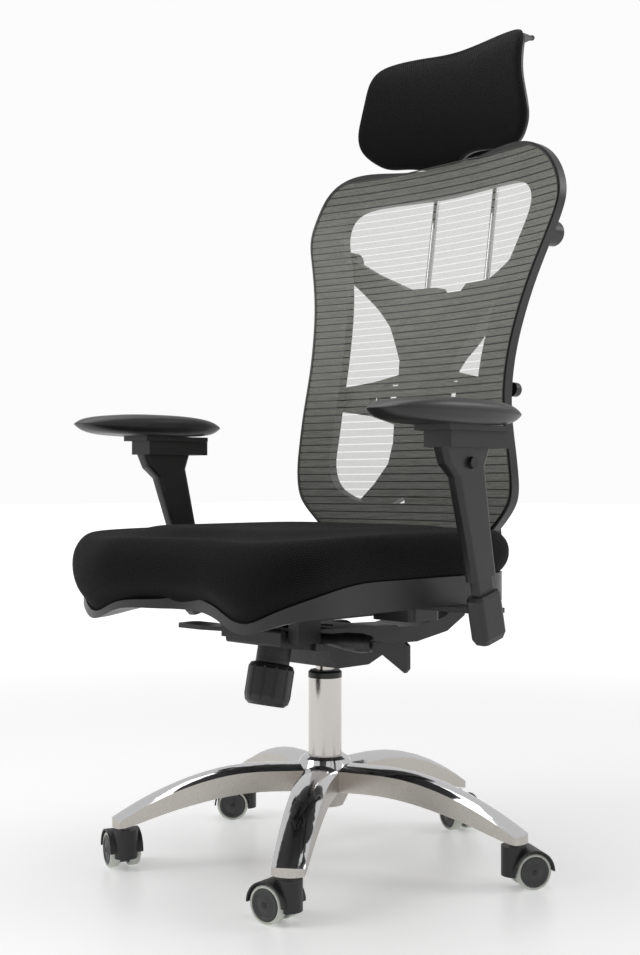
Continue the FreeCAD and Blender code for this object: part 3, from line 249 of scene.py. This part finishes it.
def wheelTread():
    made = Finish("wheelTread", (0.5, 0.53, 0.47), 0.55)
    dirt = made.noise(70.0, 4.0)
    made.put("Base Color", made.mix(dirt.above(0.62, 0.2), (0.62, 0.65, 0.58), (0.46, 0.48, 0.43)))
    made.put("Roughness", dirt * 0.2 + 0.42)
    made.bump(dirt, 0.0001)
    return made.material


finishes = {
    "polished_base": polishedBase(),
    "satin_chrome": brushedMetal("satinChrome", (0.64, 0.61, 0.58), 0.24, (1, 1, 14), 0.06),
    "steel": brushedMetal("turnedSteel", (0.55, 0.55, 0.55), 0.3, (8, 8, 1)),
    "black_metal": castBlack(),
    "caster_tread": wheelTread(),
    "black_plastic": mouldedPlastic("blackPlastic", 0.014, 0.42, 800.0, 0.00015),
    "spacer_fabric": spacerFabric(),
    "back_net": backNet(),
    "soft_pad": softPad(),
    "control_plastic": mouldedPlastic("controlPlastic", 0.011, 0.4, 500.0, 0.00012),
    "grey_plastic": mouldedPlastic("greyPlastic", 0.015, 0.38, 900.0, 0.00012),
}
rodChrome = brushedMetal("rodChrome", (0.8, 0.8, 0.8), 0.08, (1, 1, 4), 0.02)
wheelHub = mouldedPlastic("wheelHub", 0.045, 0.4, 600.0, 0.0001)

for entry in frame["record"]["subparts"]:
    body = nodes[entry["node"]].data
    body.materials.clear()
    body.materials.append(finishes[entry["material_slot"]])
nodes["headrest_rods"].data.materials[0] = rodChrome
nodes["pivot_pins"].data.materials[0] = finishes["black_metal"]
print("finishes on", len(nodes), "nodes")


# floor, lights and camera
studio = {"floor": 60.0, "paint": 0.9, "top": 60.0, "key": 18.0, "rim": 12.0, "seen": 0.97, "glossy": 0.6,
          "soft": 0.2, "near": 0.29, "fadeFrom": 0.9, "fadeTo": 3.4}
view = {"place": (1.4519, -1.4542, 0.5724), "yaw": 45.17, "pitch": 0.2625, "lens": 50.92}


def areaLight(name, place, aim, size, power):
    light = bpy.data.lights.new(name, "AREA")
    light.shape = "RECTANGLE"
    light.size, light.size_y = size
    light.energy = power
    lamp = bpy.data.objects.new(name, light)
    bpy.context.scene.collection.objects.link(lamp)
    lamp.location = place
    lamp.rotation_euler = (Vector(aim) - Vector(place)).to_track_quat("-Z", "Y").to_euler()


def buildStudio():
    bpy.ops.mesh.primitive_plane_add(size=studio["floor"], location=(0, 0, 0))
    floor = bpy.context.object
    floor.name = "studioFloor"
    made = Finish("studioFloor", shade(studio["paint"]), 0.3, Emission_Strength=1.0)
    away = made.coords("Object").socket
    length = made.tree.nodes.new("ShaderNodeVectorMath")
    length.operation = "LENGTH"
    made.tree.links.new(away, length.inputs[0])
    middle = (studio["fadeTo"] + studio["fadeFrom"]) / 2
    spread = (studio["fadeTo"] - studio["fadeFrom"]) / 2
    fade = Sock(made, length.outputs["Value"]).above(middle, spread)
    made.put("Base Color", made.mix(fade, shade(studio["paint"]), shade(0.0)))
    made.put("Emission Color", made.mix(fade, shade(studio["near"]), shade(studio["seen"])))
    made.put("Roughness", made.noise(0.8) * 0.1 + 0.25)
    floor.data.materials.append(made.material)
    world = bpy.data.worlds.new("studioWorld")
    bpy.context.scene.world = world
    world.use_nodes = True
    background = world.node_tree.nodes["Background"]
    background.inputs["Color"].default_value = (1, 1, 1, 1)
    # the backdrop reads as white paper, yet lights the dark plastics only softly
    rays = world.node_tree.nodes.new("ShaderNodeLightPath")
    glow = studio["soft"]
    for ray, key in (("Is Glossy Ray", "glossy"), ("Is Camera Ray", "seen")):
        step = world.node_tree.nodes.new("ShaderNodeMix")
        world.node_tree.links.new(rays.outputs[ray], step.inputs[0])
        if isinstance(glow, float):
            step.inputs[2].default_value = glow
        else:
            world.node_tree.links.new(glow, step.inputs[2])
        step.inputs[3].default_value = studio[key]
        glow = step.outputs[0]
    world.node_tree.links.new(glow, background.inputs["Strength"])
    areaLight("topLight", (-0.3, -0.2, 3.2), (0, 0, 0), (3.4, 3.4), studio["top"])
    areaLight("keyLight", (-1.2, -2.2, 2.2), (0, 0, 0.7), (1.2, 1.2), studio["key"])
    areaLight("rimLight", (1.6, 1.8, 2.0), (0, 0, 0.9), (1.0, 0.8), studio["rim"])
    camera = bpy.data.cameras.new("camera")
    camera.lens = view["lens"]
    camera.sensor_fit = "AUTO"
    camera.sensor_width = 36.0
    eye = bpy.data.objects.new("camera", camera)
    bpy.context.scene.collection.objects.link(eye)
    eye.location = view["place"]
    eye.rotation_euler = (math.radians(90 + view["pitch"]), 0, math.radians(view["yaw"]))
    bpy.context.scene.camera = eye
    bpy.context.scene.view_settings.view_transform = "Standard"


buildStudio()
print("studio ready")


# mesh helpers
def meshPiece(name, verts, faces, uvs=None):
    data = bpy.data.meshes.new(name)
    data.from_pydata([tuple(v) for v in verts], [], faces)
    if uvs is not None:
        layer = data.uv_layers.new(name="UVMap")
        for loop in data.loops:
            layer.data[loop.index].uv = uvs[loop.vertex_index]
    for face in data.polygons:
        face.use_smooth = True
    piece = bpy.data.objects.new(name, data)
    bpy.context.scene.collection.objects.link(piece)
    return piece


def finishPiece(piece, body, slotName, material=None, replace=()):
    piece.data.materials.clear()
    piece.data.materials.append(material or finishes[slotName])
    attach(piece, body)
    if replace:
        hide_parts(*replace)


def curveThrough(points, count):
    # evenly spaced points on a smooth curve through the given ones
    spots = [Vector(p) for p in points]
    ends = [spots[0] * 2 - spots[1]] + spots + [spots[-1] * 2 - spots[-2]]
    fine = []
    for a, b, c, d in zip(ends, ends[1:], ends[2:], ends[3:]):
        for step in range(12):
            t = step / 12
            fine.append(((b * 2) + (c - a) * t + (a * 2 - b * 5 + c * 4 - d) * t * t
                         + (b * 3 - a - c * 3 + d) * t ** 3) * 0.5)
    fine.append(spots[-1])
    lengths = [0.0]
    for a, b in zip(fine, fine[1:]):
        lengths.append(lengths[-1] + (b - a).length)
    out, at = [], 0
    for i in range(count):
        want = lengths[-1] * i / (count - 1)
        while at < len(lengths) - 2 and lengths[at + 1] < want:
            at += 1
        span = max(1e-9, lengths[at + 1] - lengths[at])
        out.append(fine[at].lerp(fine[at + 1], min(1.0, (want - lengths[at]) / span)))
    return out


def radialPiece(name, centre, rims, plane):
    # a closed skin from curves that run from a shared centre outwards; UVs follow the cloth
    verts, uvs, faces = [], [], []
    count = len(rims)
    for rim in rims:
        across = Vector([(rim[len(rim) // 2] - centre)[i] for i in plane]).normalized()
        arc = 0.0
        last = centre
        for spot in rim:
            arc += (spot - last).length
            last = spot
            verts.append(spot)
            uvs.append((across[0] * arc, across[1] * arc))
    levels = len(rims[0])
    for i in range(count):
        j = (i + 1) % count
        for k in range(levels - 1):
            faces.append((i * levels + k, i * levels + k + 1, j * levels + k + 1, j * levels + k))
    piece = meshPiece(name, verts, faces, uvs)
    work = bmesh.new()
    work.from_mesh(piece.data)
    bmesh.ops.remove_doubles(work, verts=work.verts, dist=0.00002)
    bmesh.ops.recalc_face_normals(work, faces=work.faces)
    work.to_mesh(piece.data)
    work.free()
    return piece


def surfaceTree(node):
    mesh = nodes[node].data
    return BVHTree.FromPolygons([v.co for v in mesh.vertices], [p.vertices[:] for p in mesh.polygons])


def finder(node):
    # the depth at which a line along +Y meets a node, or None
    tree = surfaceTree(node)

    def depth(x, z):
        hit = tree.ray_cast(Vector((x, -2.0, z)), Vector((0, 1, 0)))[0]
        return None if hit is None else hit.y
    return depth


def finderDown(node):
    # the height at which a line straight down meets a node, or None
    tree = surfaceTree(node)

    def height(x, y):
        hit = tree.ray_cast(Vector((x, y, 2.0)), Vector((0, 0, -1)))[0]
        return None if hit is None else hit.z
    return height


def tubeAlong(name, points, radius, closed=False, sides=10):
    # a round bead along a line of points, with closed ends unless it is a ring
    verts, faces = [], []
    count = len(points)
    for i, spot in enumerate(points):
        before = points[i - 1] if i or closed else spot
        after = points[(i + 1) % count] if i < count - 1 or closed else spot
        run = (after - before).normalized()
        side = run.cross(Vector((0, 1, 0))).normalized()
        other = run.cross(side)
        for k in range(sides):
            angle = 2 * math.pi * k / sides
            verts.append(spot + (side * math.cos(angle) + other * math.sin(angle)) * radius)
    for i in range(count if closed else count - 1):
        j = (i + 1) % count
        for k in range(sides):
            m = (k + 1) % sides
            faces.append((i * sides + k, i * sides + m, j * sides + m, j * sides + k))
    if not closed:
        faces.append(tuple(range(sides))[::-1])
        faces.append(tuple((count - 1) * sides + k for k in range(sides)))
    return meshPiece(name, verts, faces)


def reachOf(depth, x, z, dx, dz, far):
    near, away = 0.0, far
    for _ in range(16):
        middle = (near + away) / 2
        if depth(x + dx * middle, z + dz * middle) is None:
            away = middle
        else:
            near = middle
    return near


def smoothSkin(piece):
    subdivide = piece.modifiers.new("subdivide", "SUBSURF")
    subdivide.levels = 1
    subdivide.render_levels = 1


# seat cushion
cushion = {"turns": 180, "levels": 44, "frontBulge": 0.029, "sideBulge": 0.004, "rearBulge": 0.018,
           "dish": 0.012, "corners": 0.36, "lipInset": 0.988}


def seatCushion():
    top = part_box("seat_cushion")[1][2] + 0.002
    panLow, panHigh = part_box("seat_pan")
    half = panHigh[0] - 0.001
    front, rear = panLow[1] + 0.004, panHigh[1] - 0.004
    middle = (front + rear) / 2
    long = (rear - front) / 2
    centre = Vector((0, middle, top - cushion["dish"]))
    height = finderDown("seat_pan")
    rims = []
    for i in range(cushion["turns"]):
        angle = 2 * math.pi * i / cushion["turns"]
        c, s = math.cos(angle), math.sin(angle)
        x = half * math.copysign(abs(c) ** cushion["corners"], c)
        y = long * math.copysign(abs(s) ** cushion["corners"], s)
        reach = reachOf(height, 0, middle, x, y, 1.2)
        x, y = x * reach, middle + y * reach
        rim = height(x * cushion["lipInset"], middle + (y - middle) * cushion["lipInset"])
        out = Vector((x, y - middle, 0)).normalized()
        forward = max(0.0, -out.y) ** 2
        back = max(0.0, out.y) ** 2
        sideways = 1 - forward - back
        bulge = forward * cushion["frontBulge"] + back * cushion["rearBulge"] + sideways * cushion["sideBulge"]
        rise = top - rim

        def at(inward, outward, height):
            spot = Vector((x * inward, middle + (y - middle) * inward, 0)) + out * outward
            return Vector((spot.x, spot.y, rim + rise * height))
        soft = 0.006 + 0.01 * forward
        rims.append(curveThrough([
            centre, at(0.35, 0, 1 - 0.009 / rise), at(0.6, 0, 1 - 0.004 / rise),
            at(0.76, 0, 1 - (0.002 + soft) / rise),
            at(0.87, 0, 0.95 - soft / rise), at(0.95, bulge * 0.5, 0.84), at(0.99, bulge * 0.85, 0.66),
            at(1.0, bulge, 0.45), at(1.0, bulge * 0.8, 0.22), at(0.997, 0.0, 0.03), at(0.97, 0, -0.05),
        ], cushion["levels"]))
    piece = radialPiece("seatCushion", centre, rims, (0, 1))
    smoothSkin(piece)
    finishPiece(piece, "seat", "spacer_fabric", replace=["seat_cushion"])


# headrest pad
headPad = {"turns": 128, "levels": 34, "round": 0.007, "crown": 0.004, "tuck": 0.012, "hem": 0.0145}


def headrestPad():
    depth = finder("headrest_pad")
    low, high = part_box("headrest_pad")
    mid = (low[2] + high[2]) / 2
    centre = Vector((0, depth(0, mid) - headPad["crown"], mid))
    rims = []
    for i in range(headPad["turns"]):
        angle = 2 * math.pi * i / headPad["turns"]
        dx, dz = math.cos(angle), math.sin(angle)
        reach = reachOf(depth, 0, mid, dx, dz, 0.3) - 0.0005
        line = []
        inner = reach - headPad["round"]
        for k in range(10):
            part = inner * k / 9
            face = depth(dx * part, mid + dz * part)
            crown = headPad["crown"] * (1 - (part / inner) ** 2)
            line.append(Vector((dx * part, face - crown, mid + dz * part)))
        edge = line[-1].y
        for turn in (30, 60, 90):
            a = math.radians(turn)
            part = inner + headPad["round"] * math.sin(a)
            line.append(Vector((dx * part, edge + headPad["round"] * (1 - math.cos(a)), mid + dz * part)))
        line.append(Vector((dx * reach, edge + headPad["tuck"], mid + dz * reach)))
        hem = reach - 0.004
        line.append(Vector((dx * hem, edge + headPad["hem"], mid + dz * hem)))
        rims.append(curveThrough(line, headPad["levels"]))
    piece = radialPiece("headrestPad", centre, rims, (0, 2))
    smoothSkin(piece)
    finishPiece(piece, "headrest", "spacer_fabric", replace=["headrest_pad"])


# rolled edge of the headrest shell's lip
lipRoll = {"span": 0.84, "count": 41, "radius": 0.0042, "drop": 0.0024, "inset": 0.0012, "step": 0.001,
           "search": 70, "lipDepth": 0.04}


def headrestLip():
    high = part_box("headrest_shell")[1]
    height = finderDown("headrest_shell")
    half = high[0] * lipRoll["span"]
    spots = []
    for i in range(lipRoll["count"]):
        x = half * (2 * i / (lipRoll["count"] - 1) - 1)
        for k in range(lipRoll["search"]):
            y = high[1] - lipRoll["step"] * k
            top = height(x, y)
            if top is not None and top > high[2] - lipRoll["lipDepth"]:
                spots.append(Vector((x, y - lipRoll["inset"], top - lipRoll["drop"])))
                break
    spots = curveThrough(spots[::4], 64)
    roll = tubeAlong("headrestLipRoll", spots, lipRoll["radius"], sides=14)
    finishPiece(roll, "headrest", "grey_plastic")


# arm pads
armPad = {"turns": 96, "levels": 26, "sides": 0.8, "ends": 0.86, "tipDrop": 0.2, "tipLift": 0.16}


def armRest(side):
    node = "arm_pad_" + side
    low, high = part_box(node)
    middle = [(a + b) / 2 for a, b in zip(low, high)]
    wide, long, thick = (high[0] - low[0]) / 2, (high[1] - low[1]) / 2, high[2] - low[2]
    centre = Vector((middle[0], middle[1], high[2]))
    rims = []
    for i in range(armPad["turns"]):
        angle = 2 * math.pi * i / armPad["turns"]
        c, s = math.cos(angle), math.sin(angle)
        x = wide * math.copysign(abs(c) ** armPad["sides"], c)
        y = long * math.copysign(abs(s) ** armPad["ends"], s)
        tip = abs(y / long) ** 3

        def at(part, height):
            drop = tip * part ** 2
            z = low[2] + thick * height
            bend = -armPad["tipDrop"] if height > 0.5 else armPad["tipLift"]
            return Vector((middle[0] + x * part, middle[1] + y * part, z + bend * thick * drop))
        rims.append(curveThrough([
            centre, at(0.5, 0.995), at(0.8, 0.93), at(0.93, 0.82), at(0.99, 0.66), at(1.0, 0.5),
            at(0.985, 0.33), at(0.93, 0.16), at(0.84, 0.05), at(0.7, 0.0), at(0.3, 0.0),
            Vector((middle[0], middle[1], low[2]))], armPad["levels"]))
    piece = radialPiece("armPad" + side.capitalize(), centre, rims, (0, 1))
    smoothSkin(piece)
    finishPiece(piece, "pad_" + side, "soft_pad", replace=[node])


# back net, one skin laid on the frame's front
net = {"rows": 150, "columns": 72, "proud": 0.0002, "bead": 0.0011, "beadSink": 0.0004, "margin": 0.0008,
       "eased": 0.35, "sideGap": 0.0003, "besideSpine": 0.09}


def backNetSheet():
    depth = finder("back_mesh")
    low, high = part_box("back_mesh")
    verts, uvs, faces = [], [], []
    rowCount, columnCount = net["rows"], net["columns"]
    run, last = 0.0, None
    for i in range(rowCount):
        part = 0.5 - 0.5 * math.cos(math.pi * i / (rowCount - 1))
        share = net["eased"] * part + (1 - net["eased"]) * i / (rowCount - 1)
        z = low[2] + net["margin"] + (high[2] - low[2] - 2 * net["margin"]) * share
        seed = 0.0 if depth(0, z) is not None else net["besideSpine"]
        if depth(seed, z) is None:
            continue
        reach = seed + reachOf(depth, seed, z, 1, 0, 0.3) - net["sideGap"]
        spot = Vector((0, depth(seed, z), z))
        run += (spot - last).length if last else 0.0
        last = spot
        for k in range(columnCount):
            x = reach * (2 * k / (columnCount - 1) - 1)
            face = depth(x, z)
            if face is None:
                face = verts[-1][1] if verts else spot.y
            verts.append((x, face - net["proud"], z))
            uvs.append((x, run))
    rowCount = len(verts) // columnCount
    for i in range(rowCount - 1):
        for k in range(columnCount - 1):
            a = i * columnCount + k
            faces.append((a, a + 1, a + columnCount + 1, a + columnCount))
    piece = meshPiece("backNetSheet", verts, faces, uvs)
    finishPiece(piece, "back", "back_net", replace=["back_mesh"])
    edge = [Vector(verts[i * columnCount]) for i in range(rowCount)]
    edge += [Vector(verts[(rowCount - 1) * columnCount + k]) for k in range(1, columnCount - 1)]
    edge += [Vector(verts[i * columnCount + columnCount - 1]) for i in reversed(range(rowCount))]
    edge += [Vector(verts[k]) for k in reversed(range(1, columnCount - 1))]
    inward = Vector((0, net["beadSink"], 0))
    bead = tubeAlong("backNetBead", [spot + inward for spot in edge], net["bead"], closed=True)
    finishPiece(bead, "back", "grey_plastic")


# turned pieces: caster wheels
wheel = {"radius": 0.026, "half": 0.0085, "bore": 0.0033, "segments": 72, "tread": 0.0046}


def turned(name, profile, origin, axis, segments):
    # profile is (radius, along) pairs from the inner edge round to the inner edge
    along = Vector(axis).normalized()
    side = along.orthogonal().normalized()
    other = along.cross(side)
    verts, faces = [], []
    count = len(profile)
    for i in range(segments):
        angle = 2 * math.pi * i / segments
        out = side * math.cos(angle) + other * math.sin(angle)
        for radius, offset in profile:
            verts.append(Vector(origin) + out * radius + along * offset)
    for i in range(segments):
        j = (i + 1) % segments
        for k in range(count):
            m = (k + 1) % count
            faces.append((i * count + k, j * count + k, j * count + m, i * count + m))
    piece = meshPiece(name, verts, faces)
    work = bmesh.new()
    work.from_mesh(piece.data)
    bmesh.ops.remove_doubles(work, verts=work.verts, dist=0.000005)
    bmesh.ops.recalc_face_normals(work, faces=work.faces)
    work.to_mesh(piece.data)
    work.free()
    return piece


def casterWheel(joint):
    body = joint["child"]
    low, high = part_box(body)
    middle = Vector([(a + b) / 2 for a, b in zip(low, high)])
    axis = Vector(joint["axis"]).normalized()
    if (middle - Vector(joint["pos_m"])).dot(axis) < 0:
        axis = -axis
    r, h, t = wheel["radius"], wheel["half"], wheel["tread"]
    tread = turned(body + "_tread", [
        (r - t, -h + 0.0008), (r - 0.002, -h + 0.0003), (r - 0.0005, -h + 0.0013), (r, -h + 0.003),
        (r, h - 0.0045), (r - 0.0006, h - 0.0024), (r - 0.0018, h - 0.0012), (r - t + 0.0005, h - 0.0010),
        (r - t, h - 0.0018)],
        middle, axis, wheel["segments"])
    tread.modifiers.new("soften", "BEVEL").width = 0.0003
    finishPiece(tread, body, "caster_tread", replace=[body])
    c = r - t
    hub = turned(body + "_hub", [
        (wheel["bore"], -h), (c - 0.003, -h), (c - 0.0003, -h + 0.0009), (c - 0.0003, h - 0.0016),
        (c - 0.0014, h - 0.0004),
        (c - 0.0032, h - 0.0002), (c - 0.0044, h - 0.0012), (c - 0.0056, h - 0.0022), (0.0115, h - 0.0018),
        (0.0082, h - 0.0002), (0.0050, h + 0.0004), (wheel["bore"], h + 0.0004)],
        middle, axis, wheel["segments"])
    hub.data.materials.append(wheelHub)
    finishPiece(hub, body, "black_plastic", wheelHub, replace=[body])
    cap = turned(body + "_cap", [
        (0.0, h - 0.003), (0.0044, h - 0.003), (0.0044, h + 0.0006), (0.0036, h + 0.0012), (0.0018, h + 0.0015),
        (0.0, h + 0.0016)], middle, axis, 32)
    finishPiece(cap, body, "black_plastic", replace=[body])


backNetSheet()
seatCushion()
headrestPad()
headrestLip()
for side in ("right", "left"):
    armRest(side)
print("soft pieces ready")
for joint in frame["joints"]:
    if joint["name"].endswith("_spin"):
        casterWheel(joint)
print("wheels ready")
